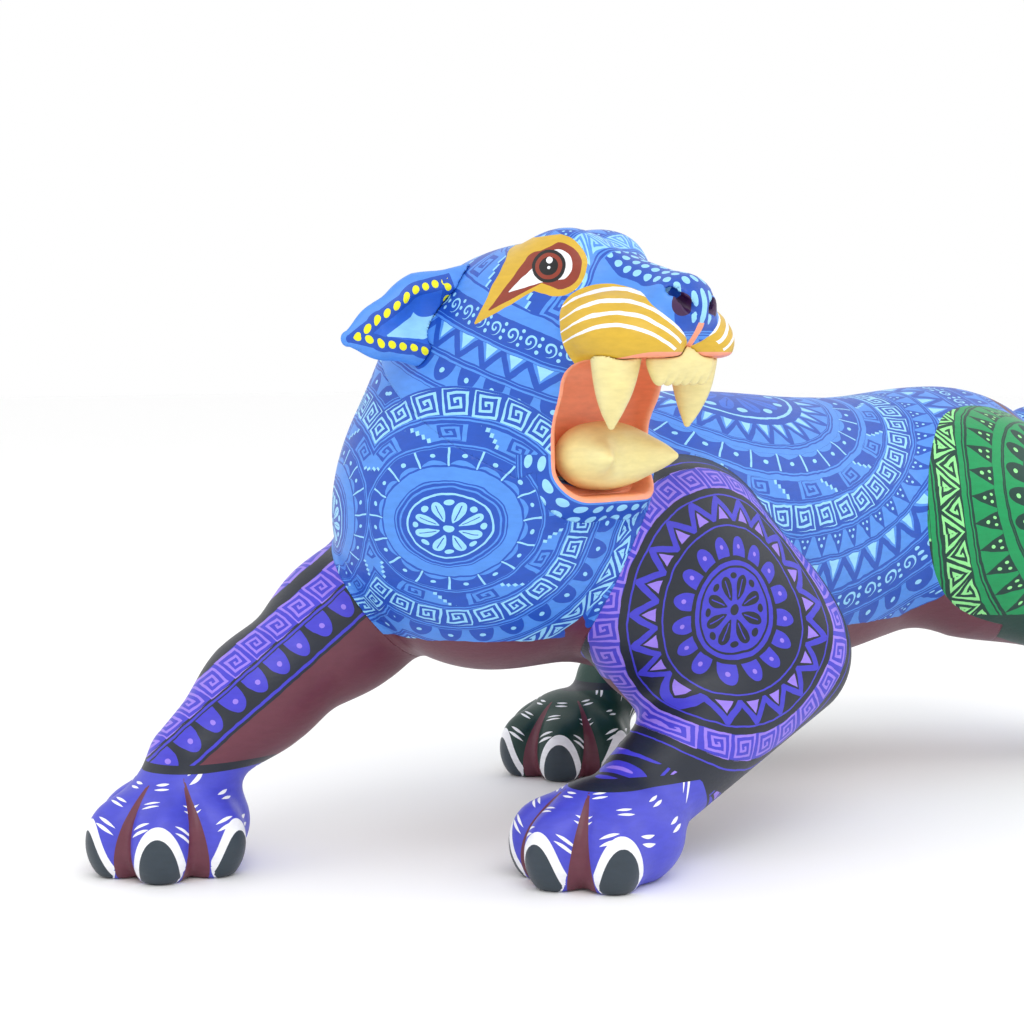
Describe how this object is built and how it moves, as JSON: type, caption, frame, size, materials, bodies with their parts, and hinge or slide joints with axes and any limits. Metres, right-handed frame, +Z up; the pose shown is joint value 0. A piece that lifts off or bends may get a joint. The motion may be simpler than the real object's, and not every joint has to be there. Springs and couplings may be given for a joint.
{
  "type": "carved big cat figure",
  "caption": "Carved and painted wooden big cat in a low prowl with its head turned and mouth open, with glued legs and teeth, and ears and tail on pegs that pull out.",
  "frame": {"origin": "centre of the bounding box's footprint, on the surface that the paws stand on", "axes": "+Z up; the animal walks towards -X along its length, and turns its head to its left, towards -Y"},
  "size_m": [0.6459, 0.2307, 0.2417],
  "materials": {
    "blue_paint": "satin acrylic paint with fine hand-painted bands",
    "violet_paint": "satin acrylic paint with fine hand-painted bands",
    "green_paint": "satin acrylic paint with fine hand-painted bands",
    "tooth_paint": "satin cream paint",
    "bare_wood": "bare sanded wood"
  },
  "bodies": {
    "figure": {"torso": "blue_paint", "head": "blue_paint", "upper_canine_right": "tooth_paint", "upper_canine_left": "tooth_paint", "upper_incisors": "tooth_paint", "lower_teeth": "tooth_paint", "foreleg_left": "violet_paint", "foreleg_right": "violet_paint", "hind_leg_left": "green_paint", "hind_leg_right": "green_paint", "foreleg_left_dowel_1": "bare_wood", "foreleg_left_dowel_2": "bare_wood", "foreleg_right_dowel_1": "bare_wood", "foreleg_right_dowel_2": "bare_wood", "hind_leg_left_dowel_1": "bare_wood", "hind_leg_left_dowel_2": "bare_wood", "hind_leg_right_dowel_1": "bare_wood", "hind_leg_right_dowel_2": "bare_wood", "neck_dowel_left": "bare_wood", "neck_dowel_right": "bare_wood"},
    "ear_right": {"ear_right": "blue_paint"},
    "ear_left": {"ear_left": "blue_paint"},
    "tail": {"tail": "blue_paint"}
  },
  "joints": [
    {"name": "ear_right_pull", "type": "slide", "parent": "figure", "child": "ear_right", "axis": [-0.9453, 0.1901, 0.2651], "range_m": [0, 0.014]},
    {"name": "ear_left_pull", "type": "slide", "parent": "figure", "child": "ear_left", "axis": [0.9453, 0.1901, 0.2651], "range_m": [0, 0.014]},
    {"name": "tail_pull", "type": "slide", "parent": "figure", "child": "tail", "axis": [0.9404, 0, 0.3401], "range_m": [0, 0.03]}
  ]
}
